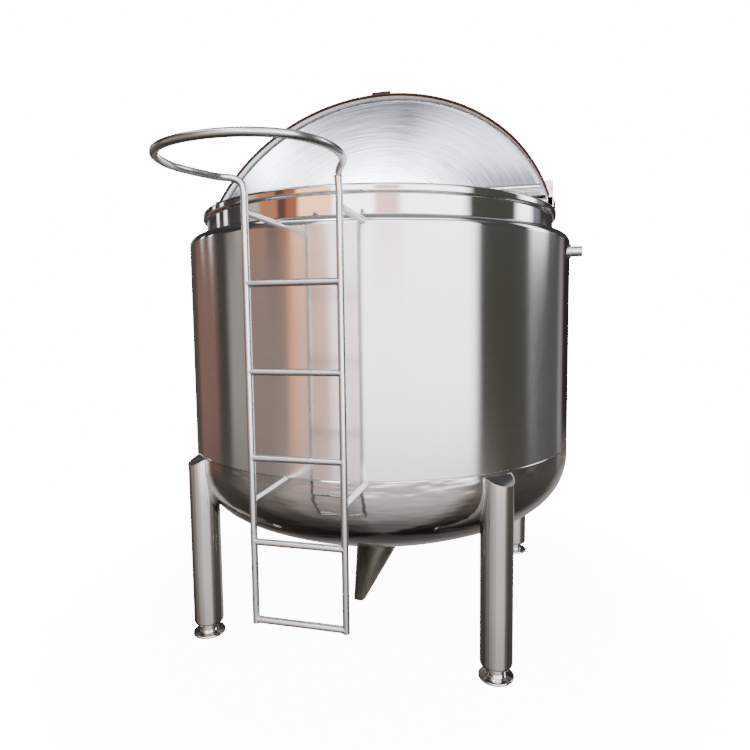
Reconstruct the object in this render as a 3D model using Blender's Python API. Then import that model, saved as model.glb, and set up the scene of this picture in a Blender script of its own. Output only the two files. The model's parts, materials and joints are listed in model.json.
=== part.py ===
"""Open-lid stainless storage tank: jacketed vessel on four legs, with a ladder and hoop.

Metres, +Z up. The origin is on the vessel's axis at floor level, the ladder is on the -Y side
and the lid's hinge line runs along X. The lid stands open, leaning on its two stop plates.
"""

import math

import bpy
import bmesh
from mathutils import Matrix, Vector

# Gaps and facets
TOUCH = 0.0003
ROUND_STEPS = 60
TUBE_SIDES = 12

# Jacket
JACKET_R = 0.963
JACKET_SHEET = 0.003
SEAM_Z = 0.865
SHOULDER_Z = 1.837
SHOULDER_R = 0.040
HEAD_FLANGE = 0.060
HEAD_KNUCKLE = 0.280
HEAD_CROWN = 1.746

# Inner vessel and its rim
VESSEL_R = 0.880
VESSEL_SHEET = 0.004
VESSEL_TANGENT_Z = 0.800
VESSEL_KNUCKLE = 0.200
VESSEL_CROWN = 1.640
RIM_TOP_Z = 1.998
RIM_HEIGHT = 0.037
RIM_R = 0.897
RIM_ROUND = 0.011

# Lid and rear cover, both pressed trays
HINGE_Y = -0.204
HINGE_Z = 2.0235
LID_OPEN_DEG = 111.5
TRAY_R = 0.8835
TRAY_SHEET = 0.003
TRAY_BEND = 0.012
TRAY_TOP = 0.012
LID_SKIRT_END = -0.0149
LID_REAR = -0.015
COVER_R = 0.8935
COVER_BEND = 0.016
COVER_TOP = 0.0215
COVER_FRONT = 0.0285
SEAL_R = 0.885
SEAL_WIDTH = 0.007
SEAL_END = -0.020
RAIL_SHEET = 0.003
RAIL_END_GAP = 0.012
STIFFENER_FROM = 0.062
STIFFENER_TO = 0.088
STIFFENER_DEPTH = 0.012
HANDLE_LENGTH = 0.102
HANDLE_REACH = 0.028
HANDLE_HEIGHT = 0.018

# Hinges and stops
HINGE_X = 0.450
KNUCKLE_R = 0.010
KNUCKLE_LENGTH = 0.060
PIN_R = 0.006
PIN_PLAY = 0.0004
LUG_SHEET = 0.006
LUG_SIDE_GAP = 0.0015
STOP_HEIGHT = 0.100
STOP_SHEET = 0.004
STOP_X = (0.790, 0.876)

# Legs and feet
LEG_RING_R = 0.9555
LEG_R = 0.068
LEG_TURN_DEG = -2.2
LEG_BOTTOM_Z = 0.050
LEG_BOTTOM_ROUND = 0.020
LEG_CAP_OUTER_Z = 0.820
LEG_CAP_RISE = 0.030
FOOT_R = 0.074
FOOT_THICKNESS = 0.012
BOSS_R = 0.040

# Ladder
LADDER_Y = -1.2128
LADDER_HALF = 0.1673
LADDER_TUBE_R = 0.0125
RUNG_PITCH = 0.300
TOP_RUNG_Z = 1.608
BOTTOM_RUNG_Z = 0.424
HOOP_Z = 1.955
STANDOFF_Z = (0.856, 1.848)

# Side nozzle
NOZZLE_Z = 1.805
NOZZLE_R = 0.0255
NOZZLE_WALL = 0.003
NOZZLE_REACH = 0.060
COLLAR_R = 0.034
COLLAR_THICKNESS = 0.008

# Discharge duct
DUCT_ROOT = (0.010, -0.020, 0.372)
DUCT_ROOT_HALF = (0.145, 0.115)
DUCT_TIP = (0.0, -0.490, 0.170)
DUCT_TIP_R = 0.0265
DUCT_SHEET = 0.003
DUCT_SIDES = 24


def material(name, colour, roughness, metallic):
    """A named surface with the part's colour."""
    made = bpy.data.materials.get(name)
    if made is None:
        made = bpy.data.materials.new(name)
        made.use_nodes = True
        shader = made.node_tree.nodes["Principled BSDF"]
        shader.inputs["Base Color"].default_value = (*colour, 1.0)
        shader.inputs["Roughness"].default_value = roughness
        shader.inputs["Metallic"].default_value = metallic
    return made


def polished_steel():
    """Mirror-polished stainless steel."""
    return material("polished_steel", (0.72, 0.72, 0.71), 0.10, 1.0)


def satin_steel():
    """Satin stainless steel of tubes and rungs."""
    return material("satin_steel", (0.62, 0.62, 0.60), 0.28, 1.0)


def brushed_sheet():
    """Circularly brushed stainless sheet of the lid."""
    return material("brushed_sheet", (0.66, 0.68, 0.71), 0.30, 1.0)


def dark_rubber():
    """Dark brown edge seal."""
    return material("dark_rubber", (0.045, 0.030, 0.022), 0.70, 0.0)


def black_plastic():
    """Black handle."""
    return material("black_plastic", (0.015, 0.015, 0.016), 0.40, 0.0)


def make_object(name, mesh_builder, surface, location=(0.0, 0.0, 0.0), parent=None):
    """Turn a finished bmesh into a named, smooth-shaded object."""
    mesh = bpy.data.meshes.new(name)
    bmesh.ops.recalc_face_normals(mesh_builder, faces=mesh_builder.faces)
    mesh_builder.to_mesh(mesh)
    mesh_builder.free()
    mesh.shade_smooth()
    mesh.set_sharp_from_angle(angle=math.radians(35.0))
    made = bpy.data.objects.new(name, mesh)
    made.location = location
    made.parent = parent
    if surface is not None:
        mesh.materials.append(surface)
    bpy.context.scene.collection.objects.link(made)
    return made


def arc(centre, radius, start_deg, end_deg, steps):
    """Points on an arc in the radius-height plane, both ends included."""
    points = []
    for step in range(steps + 1):
        angle = math.radians(start_deg + (end_deg - start_deg) * step / steps)
        points.append((centre[0] + radius * math.cos(angle), centre[1] + radius * math.sin(angle)))
    return points


def turned(profile, steps=ROUND_STEPS):
    """Spin a closed (radius, height) outline round Z. Points at radius 0 close on the axis."""
    shape = bmesh.new()
    points = [shape.verts.new((radius, 0.0, height)) for radius, height in profile]
    count = len(points)
    for index in range(count):
        following = points[(index + 1) % count]
        if points[index].co.x > 0.0 or following.co.x > 0.0:
            shape.edges.new((points[index], following))
    bmesh.ops.spin(
        shape,
        geom=list(shape.verts) + list(shape.edges),
        cent=(0.0, 0.0, 0.0),
        axis=(0.0, 0.0, 1.0),
        angle=2.0 * math.pi,
        steps=steps,
        use_merge=True,
    )
    bmesh.ops.remove_doubles(shape, verts=list(shape.verts), dist=0.00001)
    return shape


def block(low, high):
    """A box between two corners."""
    shape = bmesh.new()
    size = [high[axis] - low[axis] for axis in range(3)]
    middle = [(high[axis] + low[axis]) / 2.0 for axis in range(3)]
    place = Matrix.Translation(middle) @ Matrix.Diagonal((*size, 1.0))
    bmesh.ops.create_cube(shape, size=1.0, matrix=place)
    return shape


def rod(start, end, radius, sides=TUBE_SIDES):
    """A solid round bar from one point to another."""
    shape = bmesh.new()
    along = Vector(end) - Vector(start)
    turn = Vector((0.0, 0.0, 1.0)).rotation_difference(along).to_matrix().to_4x4()
    place = Matrix.Translation((Vector(start) + Vector(end)) / 2.0) @ turn
    bmesh.ops.create_cone(
        shape,
        cap_ends=True,
        segments=sides,
        radius1=radius,
        radius2=radius,
        depth=along.length,
        matrix=place,
    )
    return shape


def cutter(name, shape, parent=None):
    """A hidden guide shape for Boolean modifiers."""
    made = make_object(name, shape, None, parent=parent)
    made.hide_render = True
    made.display_type = "WIRE"
    return made


def boolean(target, tool, operation):
    """Cut or join with the exact solver."""
    step = target.modifiers.new(operation.lower(), "BOOLEAN")
    step.object = tool
    step.operation = operation
    step.solver = "EXACT"


def tube_along(name, points, radius, surface):
    """A round tube with closed ends along a list of points."""
    data = bpy.data.curves.new(name, "CURVE")
    data.dimensions = "3D"
    data.bevel_depth = radius
    data.bevel_resolution = (TUBE_SIDES - 4) // 2
    data.use_fill_caps = True
    path = data.splines.new("POLY")
    path.points.add(len(points) - 1)
    for point, place in zip(path.points, points):
        point.co = (*place, 1.0)
    data.materials.append(surface)
    made = bpy.data.objects.new(name, data)
    bpy.context.scene.collection.objects.link(made)
    return made


def smooth_route(points, steps):
    """Points on a smooth curve that passes through every given point."""
    padded = [points[0], *points, points[-1]]
    route = []
    for index in range(1, len(padded) - 2):
        before, start, end, after = [Vector(padded[index + shift]) for shift in (-1, 0, 1, 2)]
        for step in range(steps):
            t = step / steps
            route.append(
                0.5
                * (
                    2.0 * start
                    + (end - before) * t
                    + (2.0 * before - 5.0 * start + 4.0 * end - after) * t**2
                    + (3.0 * start - before - 3.0 * end + after) * t**3
                )
            )
    route.append(Vector(points[-1]))
    return route


def dish(radius, knuckle, crown, tangent_z, inset, knuckle_steps, crown_steps):
    """Torispherical outline from its rim down to the axis, drawn 'inset' inside the outside."""
    rise = math.sqrt((crown - knuckle) ** 2 - (radius - knuckle) ** 2)
    knuckle_deg = math.degrees(math.atan2(rise, radius - knuckle))
    bend = arc((radius - knuckle, tangent_z), knuckle - inset, 0.0, -knuckle_deg, knuckle_steps)
    bowl = arc((0.0, tangent_z + rise), crown - inset, -knuckle_deg, -90.0, crown_steps)
    bowl[-1] = (0.0, bowl[-1][1])
    return bend + bowl[1:]


def jacket_head_outline(inset, knuckle_steps=6, crown_steps=4):
    """Outline of the jacket's bottom head below its straight flange."""
    tangent_z = SEAM_Z - HEAD_FLANGE
    return dish(JACKET_R, HEAD_KNUCKLE, HEAD_CROWN, tangent_z, inset, knuckle_steps, crown_steps)


def jacket_envelope():
    """The jacket's whole outside, a hair larger, to cope legs, stand-offs and duct to it."""
    outside = JACKET_R + TOUCH
    shoulder_centre = (JACKET_R - SHOULDER_R, SHOULDER_Z)
    outline = [(0.0, SHOULDER_Z + SHOULDER_R + TOUCH)]
    outline += arc(shoulder_centre, SHOULDER_R + TOUCH, 90.0, 0.0, 6)
    outline += [(outside, SEAM_Z)]
    outline += jacket_head_outline(-TOUCH)
    return cutter("jacket_envelope", turned(outline))


def make_jacket():
    """Shell, shoulder and bottom head of the outer jacket."""
    inside = JACKET_R - JACKET_SHEET
    shell = [
        (JACKET_R, SEAM_Z + TOUCH),
        (JACKET_R, SHOULDER_Z - TOUCH),
        (inside, SHOULDER_Z - TOUCH),
        (inside, SEAM_Z + TOUCH),
    ]
    make_object("jacket_shell", turned(shell), polished_steel())

    centre = (JACKET_R - SHOULDER_R, SHOULDER_Z)
    neck = VESSEL_R + TOUCH
    shoulder = arc(centre, SHOULDER_R, 0.0, 90.0, 6)
    shoulder += [(neck, SHOULDER_Z + SHOULDER_R), (neck, SHOULDER_Z + SHOULDER_R - JACKET_SHEET)]
    shoulder += arc(centre, SHOULDER_R - JACKET_SHEET, 90.0, 0.0, 4)
    make_object("jacket_shoulder", turned(shoulder), polished_steel())

    outside = jacket_head_outline(0.0)
    lining = jacket_head_outline(JACKET_SHEET, 4, 3)
    head = [(inside, SEAM_Z - TOUCH), (JACKET_R, SEAM_Z - TOUCH), *outside, *reversed(lining)]
    make_object("bottom_head", turned(head), polished_steel())


def make_vessel():
    """Inner vessel, whose neck stands above the shoulder, with the half-round rim ring."""
    inside = VESSEL_R - VESSEL_SHEET
    wall = [
        (VESSEL_R, VESSEL_TANGENT_Z + TOUCH),
        (VESSEL_R, RIM_TOP_Z),
        (inside, RIM_TOP_Z),
        (inside, VESSEL_TANGENT_Z + TOUCH),
    ]
    make_object("vessel_wall", turned(wall), polished_steel())

    shape = (VESSEL_R, VESSEL_KNUCKLE, VESSEL_CROWN, VESSEL_TANGENT_Z)
    bottom = dish(*shape, 0.0, 3, 3) + list(reversed(dish(*shape, VESSEL_SHEET, 3, 3)))
    make_object("vessel_bottom", turned(bottom), satin_steel())

    low = RIM_TOP_Z - RIM_HEIGHT
    ring_inside = VESSEL_R + TOUCH
    ring = arc((RIM_R - RIM_ROUND, low + RIM_ROUND), RIM_ROUND, -90.0, 0.0, 3)
    ring += arc((RIM_R - RIM_ROUND, RIM_TOP_Z - RIM_ROUND), RIM_ROUND, 0.0, 90.0, 3)
    ring += [(ring_inside, RIM_TOP_Z), (ring_inside, low)]
    make_object("rim_ring", turned(ring), polished_steel())


def tray_outline(radius, top, bend, skirt_end):
    """A pressed half-lid in section: flat top, bent edge and skirt."""
    centre = (radius - bend, top - bend)
    outline = [(0.0, top)]
    outline += arc(centre, bend, 90.0, 0.0, 3)
    outline += [(radius, skirt_end), (radius - TRAY_SHEET, skirt_end)]
    outline += arc(centre, bend - TRAY_SHEET, 0.0, 90.0, 3)
    outline += [(0.0, top - TRAY_SHEET)]
    return outline


def chord_half(radius, from_axis):
    """Half the width of a disc at a distance from its centre."""
    return math.sqrt(radius**2 - from_axis**2)


def rail_half(y):
    """Half-length of a straight rail under a tray, clear of the tray's bent edge."""
    return chord_half(TRAY_R - TRAY_SHEET, y) - RAIL_END_GAP


def rim_top_at(radius):
    """Height of the rim ring's rounded top at a radius."""
    across = radius - (RIM_R - RIM_ROUND)
    return RIM_TOP_Z - RIM_ROUND + math.sqrt(RIM_ROUND**2 - across**2)


def make_rear_cover():
    """Fixed half-moon cover behind the hinge line, with a rail along its straight edge."""
    skirt_end = rim_top_at(COVER_R - TRAY_SHEET) + TOUCH - HINGE_Z
    outline = tray_outline(COVER_R, COVER_TOP, COVER_BEND, skirt_end)
    place = (0.0, 0.0, HINGE_Z)
    cover = make_object("rear_cover", turned(outline), polished_steel(), place)
    front = HINGE_Y + COVER_FRONT
    boolean(cover, cutter("cover_front_cut", block((-1.0, -1.0, 1.9), (1.0, front, 2.1))), "DIFFERENCE")

    half = rail_half(front)
    top = HINGE_Z + COVER_TOP - TRAY_SHEET - TOUCH
    rail = block((-half, front, RIM_TOP_Z + TOUCH), (half, front + RAIL_SHEET, top))
    make_object("cover_front_rail", rail, polished_steel())

    leaning = math.radians(LID_OPEN_DEG)
    along = (STOP_HEIGHT - TRAY_TOP * math.cos(leaning)) / math.sin(leaning)
    behind = TRAY_TOP * math.sin(leaning) - along * math.cos(leaning)
    near = HINGE_Y + behind + TOUCH
    for side, name in ((-1.0, "lid_stop_left"), (1.0, "lid_stop_right")):
        ends = sorted((side * STOP_X[0], side * STOP_X[1]))
        low = (ends[0], near, HINGE_Z + COVER_TOP + TOUCH)
        high = (ends[1], near + STOP_SHEET, HINGE_Z + STOP_HEIGHT)
        make_object(name, block(low, high), polished_steel())


def make_lid():
    """Front lid and all that swings with it, drawn shut round the hinge and then opened."""
    hinge = bpy.data.objects.new("lid_hinge_line", None)
    hinge.location = (0.0, HINGE_Y, HINGE_Z)
    hinge.rotation_euler = (-math.radians(LID_OPEN_DEG), 0.0, 0.0)
    bpy.context.scene.collection.objects.link(hinge)
    axis_y = -HINGE_Y
    rear_cut = cutter("lid_rear_cut", block((-1.0, LID_REAR, -0.1), (1.0, 1.2, 0.1)), hinge)

    lid_shape = turned(tray_outline(TRAY_R, TRAY_TOP, TRAY_BEND, LID_SKIRT_END))
    lid = make_object("front_lid", lid_shape, brushed_sheet(), (0.0, axis_y, 0.0), hinge)
    boolean(lid, rear_cut, "DIFFERENCE")

    top = LID_SKIRT_END - TOUCH
    seal_inside = SEAL_R - SEAL_WIDTH
    seal_outline = [(SEAL_R, SEAL_END), (SEAL_R, top), (seal_inside, top), (seal_inside, SEAL_END)]
    seal = make_object("lid_seal", turned(seal_outline), dark_rubber(), (0.0, axis_y, 0.0), hinge)
    boolean(seal, rear_cut, "DIFFERENCE")

    under = TRAY_TOP - TRAY_SHEET - TOUCH
    half = rail_half(HINGE_Y + LID_REAR)
    rail = block((-half, LID_REAR - RAIL_SHEET, SEAL_END), (half, LID_REAR, under))
    make_object("lid_hinge_rail", rail, polished_steel(), parent=hinge)

    half = rail_half(HINGE_Y - STIFFENER_TO)
    bar = block((-half, -STIFFENER_TO, under - STIFFENER_DEPTH), (half, -STIFFENER_FROM, under))
    make_object("lid_stiffener", bar, polished_steel(), parent=hinge)

    front = axis_y - TRAY_R - TOUCH
    half = HANDLE_LENGTH / 2.0
    low = (-half, front - HANDLE_REACH, -HANDLE_HEIGHT / 2.0)
    high = (half, front, HANDLE_HEIGHT / 2.0)
    handle = make_object("lid_handle", block(low, high), black_plastic(), parent=hinge)
    rounding = handle.modifiers.new("round", "BEVEL")
    rounding.width = 0.004
    rounding.segments = 2
    return hinge


def make_hinges(hinge):
    """Two barrel hinges: a knuckle on the lid between two lugs and a pin on the cover's rail."""
    for side, word in ((-1.0, "left"), (1.0, "right")):
        middle = side * HINGE_X
        half = KNUCKLE_LENGTH / 2.0
        barrel = rod((middle - half, 0.0, 0.0), (middle + half, 0.0, 0.0), KNUCKLE_R, 20)
        knuckle = make_object("lid_knuckle_" + word, barrel, satin_steel(), parent=hinge)
        low = (middle - half, LID_REAR + TOUCH, -0.8 * KNUCKLE_R)
        arm = cutter("knuckle_arm_" + word, block(low, (middle + half, 0.0, 0.5 * KNUCKLE_R)), hinge)
        boolean(knuckle, arm, "UNION")
        reach = half + 0.01
        bore_shape = rod((middle - reach, 0.0, 0.0), (middle + reach, 0.0, 0.0), PIN_R + PIN_PLAY, 20)
        boolean(knuckle, cutter("knuckle_bore_" + word, bore_shape, hinge), "DIFFERENCE")

        outer = half + LUG_SIDE_GAP + LUG_SHEET
        ends = ((middle - outer, HINGE_Y, HINGE_Z), (middle + outer, HINGE_Y, HINGE_Z))
        lugs = make_object("hinge_lugs_" + word, rod(*ends, PIN_R, 20), satin_steel())
        for turn, where in ((-1.0, "a"), (1.0, "b")):
            near = middle + turn * (half + LUG_SIDE_GAP)
            far = near + turn * LUG_SHEET
            eye_ends = ((near, HINGE_Y, HINGE_Z), (far, HINGE_Y, HINGE_Z))
            eye = cutter("lug_eye_" + word + where, rod(*eye_ends, KNUCKLE_R, 20))
            boolean(lugs, eye, "UNION")
            spread = sorted((near, far))
            low = (spread[0], HINGE_Y, HINGE_Z - 0.9 * KNUCKLE_R)
            high = (spread[1], HINGE_Y + COVER_FRONT - TOUCH, HINGE_Z + 0.2 * KNUCKLE_R)
            boolean(lugs, cutter("lug_arm_" + word + where, block(low, high)), "UNION")


def make_legs(envelope):
    """Four tubular legs coped to the head, capped by a slanted plate, on round feet."""
    places = (("front_right", 45.0), ("front_left", -45.0), ("rear_right", 135.0), ("rear_left", -135.0))
    top = LEG_CAP_OUTER_Z + 4.0 * LEG_CAP_RISE
    for word, corner in places:
        angle = math.radians(corner + LEG_TURN_DEG)
        away = Vector((math.sin(angle), -math.cos(angle), 0.0))
        place = away * LEG_RING_R
        outline = [(0.0, LEG_BOTTOM_Z)]
        rounding = (LEG_R - LEG_BOTTOM_ROUND, LEG_BOTTOM_Z + LEG_BOTTOM_ROUND)
        outline += arc(rounding, LEG_BOTTOM_ROUND, -90.0, 0.0, 3)
        outline += [(LEG_R, top), (0.0, top)]
        leg = make_object("leg_" + word, turned(outline, 24), polished_steel(), place)
        boolean(leg, envelope, "DIFFERENCE")

        slope = math.atan2(LEG_CAP_RISE, LEG_RING_R + LEG_R - JACKET_R)
        wedge = cutter("leg_cap_cut_" + word, block((-0.3, -0.2, 0.0), (0.3, 0.2, 0.4)))
        wedge.location = away * (LEG_RING_R + LEG_R) + Vector((0.0, 0.0, LEG_CAP_OUTER_Z))
        wedge.rotation_euler = (0.0, slope, math.atan2(away.y, away.x))
        boolean(leg, wedge, "DIFFERENCE")

        edge = 0.003
        foot = [
            (0.0, 0.0),
            (FOOT_R - edge, 0.0),
            (FOOT_R, edge),
            (FOOT_R, FOOT_THICKNESS - edge),
            (FOOT_R - edge, FOOT_THICKNESS),
            (BOSS_R, FOOT_THICKNESS + edge),
            (BOSS_R, LEG_BOTTOM_Z - TOUCH),
            (0.0, LEG_BOTTOM_Z - TOUCH),
        ]
        make_object("foot_" + word, turned(foot, 24), satin_steel(), (place.x, place.y, 0.0))


def make_ladder(envelope):
    """Ladder of bent tube: the left stile runs on into the safety hoop."""
    steel = satin_steel()
    foot_z = BOTTOM_RUNG_Z - LADDER_TUBE_R
    hoop_plan = [
        (-0.200, -0.014),
        (-0.234, -0.046),
        (-0.264, -0.102),
        (-0.290, -0.168),
        (-0.299, -0.240),
        (-0.279, -0.320),
        (-0.224, -0.388),
        (-0.140, -0.432),
        (-0.035, -0.450),
        (0.070, -0.438),
        (0.160, -0.394),
        (0.216, -0.318),
        (0.236, -0.225),
        (0.224, -0.132),
        (0.190, -0.055),
        (0.166, 0.004),
    ]
    bend = [
        (-LADDER_HALF, LADDER_Y, HOOP_Z - 0.070),
        (-LADDER_HALF, LADDER_Y, HOOP_Z - 0.045),
        (-LADDER_HALF - 0.008, LADDER_Y - 0.002, HOOP_Z - 0.014),
    ]
    hoop = [(x, LADDER_Y + y, HOOP_Z) for x, y in hoop_plan]
    route = [(-LADDER_HALF, LADDER_Y, foot_z), *smooth_route(bend + hoop, 3)]
    tube_along("ladder_left_stile_and_hoop", route, LADDER_TUBE_R, steel)

    stile_top = HOOP_Z - LADDER_TUBE_R - TOUCH
    route = [
        (LADDER_HALF, LADDER_Y, foot_z),
        (LADDER_HALF, LADDER_Y, stile_top - 0.060),
        (LADDER_HALF - 0.003, LADDER_Y, stile_top),
    ]
    tube_along("ladder_right_stile", route, LADDER_TUBE_R, steel)

    heights = [TOP_RUNG_Z - RUNG_PITCH * step for step in range(4)]
    heights.append(BOTTOM_RUNG_Z)
    reach = LADDER_HALF - LADDER_TUBE_R - TOUCH
    for number, height in enumerate(heights, start=1):
        shape = rod((-reach, LADDER_Y, height), (reach, LADDER_Y, height), LADDER_TUBE_R)
        make_object("ladder_rung_%d" % number, shape, steel)

    for height, level in zip(STANDOFF_Z, ("lower", "upper")):
        for side, word in ((-1.0, "left"), (1.0, "right")):
            x = side * LADDER_HALF
            start = (x, LADDER_Y + LADDER_TUBE_R + TOUCH, height)
            arm = rod(start, (x, -JACKET_R + 0.1, height), LADDER_TUBE_R)
            name = "ladder_standoff_" + level + "_" + word
            boolean(make_object(name, arm, steel), envelope, "DIFFERENCE")


def make_nozzle():
    """Short pipe stub with a collar on the jacket's right side."""
    bore = NOZZLE_R - NOZZLE_WALL
    outline = [
        (bore, 0.0),
        (COLLAR_R, 0.0),
        (COLLAR_R, COLLAR_THICKNESS),
        (NOZZLE_R, COLLAR_THICKNESS),
        (NOZZLE_R, NOZZLE_REACH),
        (bore, NOZZLE_REACH),
    ]
    place = (JACKET_R + TOUCH, 0.0, NOZZLE_Z)
    nozzle = make_object("side_nozzle", turned(outline, 24), satin_steel(), place)
    nozzle.rotation_euler = (0.0, math.pi / 2.0, 0.0)


def duct_shape(inset, overrun):
    """A tapering duct from an oval under the head to a round mouth."""
    shape = bmesh.new()
    root = Vector(DUCT_ROOT)
    tip = Vector(DUCT_TIP)
    along = (tip - root).normalized()
    rearward = Vector((1.0, 0.0, 0.0)).cross(along)
    rings = ([], [])
    for step in range(DUCT_SIDES):
        angle = 2.0 * math.pi * step / DUCT_SIDES
        across, over = math.cos(angle), math.sin(angle)
        oval = Vector((across * (DUCT_ROOT_HALF[0] - inset), over * (DUCT_ROOT_HALF[1] - inset), 0.0))
        mouth = (DUCT_TIP_R - inset) * (Vector((across, 0.0, 0.0)) + rearward * over)
        rings[0].append(shape.verts.new(root + oval - along * overrun))
        rings[1].append(shape.verts.new(tip + mouth + along * overrun))
    for step in range(DUCT_SIDES):
        after = (step + 1) % DUCT_SIDES
        shape.faces.new((rings[0][step], rings[0][after], rings[1][after], rings[1][step]))
    shape.faces.new(rings[0])
    shape.faces.new(rings[1])
    bmesh.ops.triangulate(shape, faces=list(shape.faces))
    return shape


def make_duct(envelope):
    """Discharge duct of sheet metal under the head, running to the front."""
    duct = make_object("discharge_duct", duct_shape(0.0, 0.0), polished_steel())
    boolean(duct, cutter("duct_inside", duct_shape(DUCT_SHEET, 0.02)), "DIFFERENCE")
    boolean(duct, envelope, "DIFFERENCE")


def main():
    for existing in list(bpy.data.objects):
        bpy.data.objects.remove(existing, do_unlink=True)
    envelope = jacket_envelope()
    make_jacket()
    make_vessel()
    make_rear_cover()
    hinge = make_lid()
    make_hinges(hinge)
    make_legs(envelope)
    make_ladder(envelope)
    make_nozzle()
    make_duct(envelope)


main()
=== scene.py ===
"""Dresses the open-lid storage tank: polished and brushed stainless steel in a pale studio."""

import json
import math

import bmesh
import bpy
from mathutils import Matrix, Vector


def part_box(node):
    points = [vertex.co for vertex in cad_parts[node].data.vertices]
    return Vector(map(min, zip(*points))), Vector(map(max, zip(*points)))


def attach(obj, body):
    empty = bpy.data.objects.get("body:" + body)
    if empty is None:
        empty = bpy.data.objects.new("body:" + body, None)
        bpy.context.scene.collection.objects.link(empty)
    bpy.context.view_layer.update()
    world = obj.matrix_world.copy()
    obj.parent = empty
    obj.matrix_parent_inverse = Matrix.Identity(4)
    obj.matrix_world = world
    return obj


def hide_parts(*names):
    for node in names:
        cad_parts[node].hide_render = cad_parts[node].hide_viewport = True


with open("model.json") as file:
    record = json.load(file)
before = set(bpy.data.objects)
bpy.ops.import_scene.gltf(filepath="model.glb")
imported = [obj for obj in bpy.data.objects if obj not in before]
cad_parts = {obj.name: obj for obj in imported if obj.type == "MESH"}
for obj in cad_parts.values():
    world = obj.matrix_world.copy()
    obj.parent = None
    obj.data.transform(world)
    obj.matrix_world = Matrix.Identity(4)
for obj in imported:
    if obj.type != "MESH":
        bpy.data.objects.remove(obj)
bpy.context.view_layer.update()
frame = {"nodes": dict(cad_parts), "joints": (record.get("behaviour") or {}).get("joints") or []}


# Camera
# The photograph was taken from eye level, to the right of the ladder, looking slightly down.
# Its lens and place are fitted to the tank's own circles and to the ladder's rungs.
picture_px = 750
focal_px = 573.55
centre_px = (384.58, 365.47)
eye = Vector((0.7485, -3.0092, 1.4871))
heading = math.radians(13.67)
pitch = math.radians(4.73)
roll = math.radians(0.595)

level = math.cos(pitch)
ahead = Vector((-math.sin(heading) * level, math.cos(heading) * level, -math.sin(pitch)))
level_right = Vector((math.cos(heading), math.sin(heading), 0.0))
level_down = ahead.cross(level_right)
picture_right = math.cos(roll) * level_right + math.sin(roll) * level_down
picture_down = math.cos(roll) * level_down - math.sin(roll) * level_right

bpy.ops.object.select_all(action="DESELECT")
bpy.ops.object.camera_add()
camera = bpy.context.object
camera.name = "photo_camera"
turned_to = Matrix((picture_right, -picture_down, -ahead)).transposed().to_4x4()
camera.matrix_world = Matrix.Translation(eye) @ turned_to
camera.data.sensor_width = 36.0
camera.data.lens = camera.data.sensor_width * focal_px / picture_px
camera.data.shift_x = -(centre_px[0] - picture_px / 2.0) / picture_px
camera.data.shift_y = -(picture_px / 2.0 - centre_px[1]) / picture_px
bpy.context.scene.camera = camera


# Studio
# Soft panels stand all round the tank, and the polished steel shows them as upright bands.
# The picture itself sees a plain white backdrop, and the pale floor fades into it.
def calculated(tree, operation, first, second=0.0, third=None):
    """One step of arithmetic in a node tree: numbers are set and sockets are linked."""
    step = tree.nodes.new("ShaderNodeMath")
    step.operation = operation
    for place, value in enumerate((first, second, third)):
        if isinstance(value, bpy.types.NodeSocket):
            tree.links.new(value, step.inputs[place])
        elif value is not None:
            step.inputs[place].default_value = value
    return step.outputs[0]


def between(tree, value, low, high, start=0.0, end=1.0):
    """The start below low, the end above high, and an even slope between them."""
    step = tree.nodes.new("ShaderNodeMapRange")
    tree.links.new(value, step.inputs["Value"])
    step.inputs["From Min"].default_value = low
    step.inputs["From Max"].default_value = high
    step.inputs["To Min"].default_value = start
    step.inputs["To Max"].default_value = end
    return step.outputs["Result"]


def blended(tree, share, first, second):
    """A colour between two colours or sockets."""
    step = tree.nodes.new("ShaderNodeMix")
    step.data_type = "RGBA"
    tree.links.new(share, step.inputs["Factor"])
    for name, colour in (("A", first), ("B", second)):
        socket = next(s for s in step.inputs if s.name == name and s.type == "RGBA")
        if isinstance(colour, bpy.types.NodeSocket):
            tree.links.new(colour, socket)
        else:
            socket.default_value = (*colour, 1.0)
    return next(s for s in step.outputs if s.type == "RGBA")


def panel_ramp(tree, turn, panels):
    """Panels side by side round the tank: each is its two edges in degrees and its light."""
    ring = tree.nodes.new("ShaderNodeValToRGB")
    tree.links.new(turn, ring.inputs[0])
    stops = ring.color_ramp.elements
    stops.remove(stops[1])
    stops[0].position = 0.0
    stops[0].color = (*panels[0][2], 1.0)
    for start, end, light in panels:
        for edge in (start, end):
            stop = stops.new((edge + 180.0) / 360.0)
            stop.color = (*light, 1.0)
    return ring.outputs["Color"]


def panel_ring(tree, turn, panels):
    """Panels all round the tank, as two ramps that meet between the panels in the middle."""
    half = len(panels) // 2
    left = panel_ramp(tree, turn, panels[:half])
    right = panel_ramp(tree, turn, panels[half:])
    gap_start = (panels[half - 1][1] + 180.0) / 360.0
    gap_end = (panels[half][0] + 180.0) / 360.0
    return blended(tree, between(tree, turn, gap_start, gap_end), left, right)


dark_card = (0.085, 0.088, 0.070)
brown_card = (0.29, 0.165, 0.135)
warm_card = (0.40, 0.30, 0.265)
orange_card = (0.80, 0.33, 0.18)
white_card = (4.9, 4.85, 5.0)
shade_card = (0.06, 0.055, 0.05)
back_card = (0.50, 0.47, 0.50)

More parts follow.
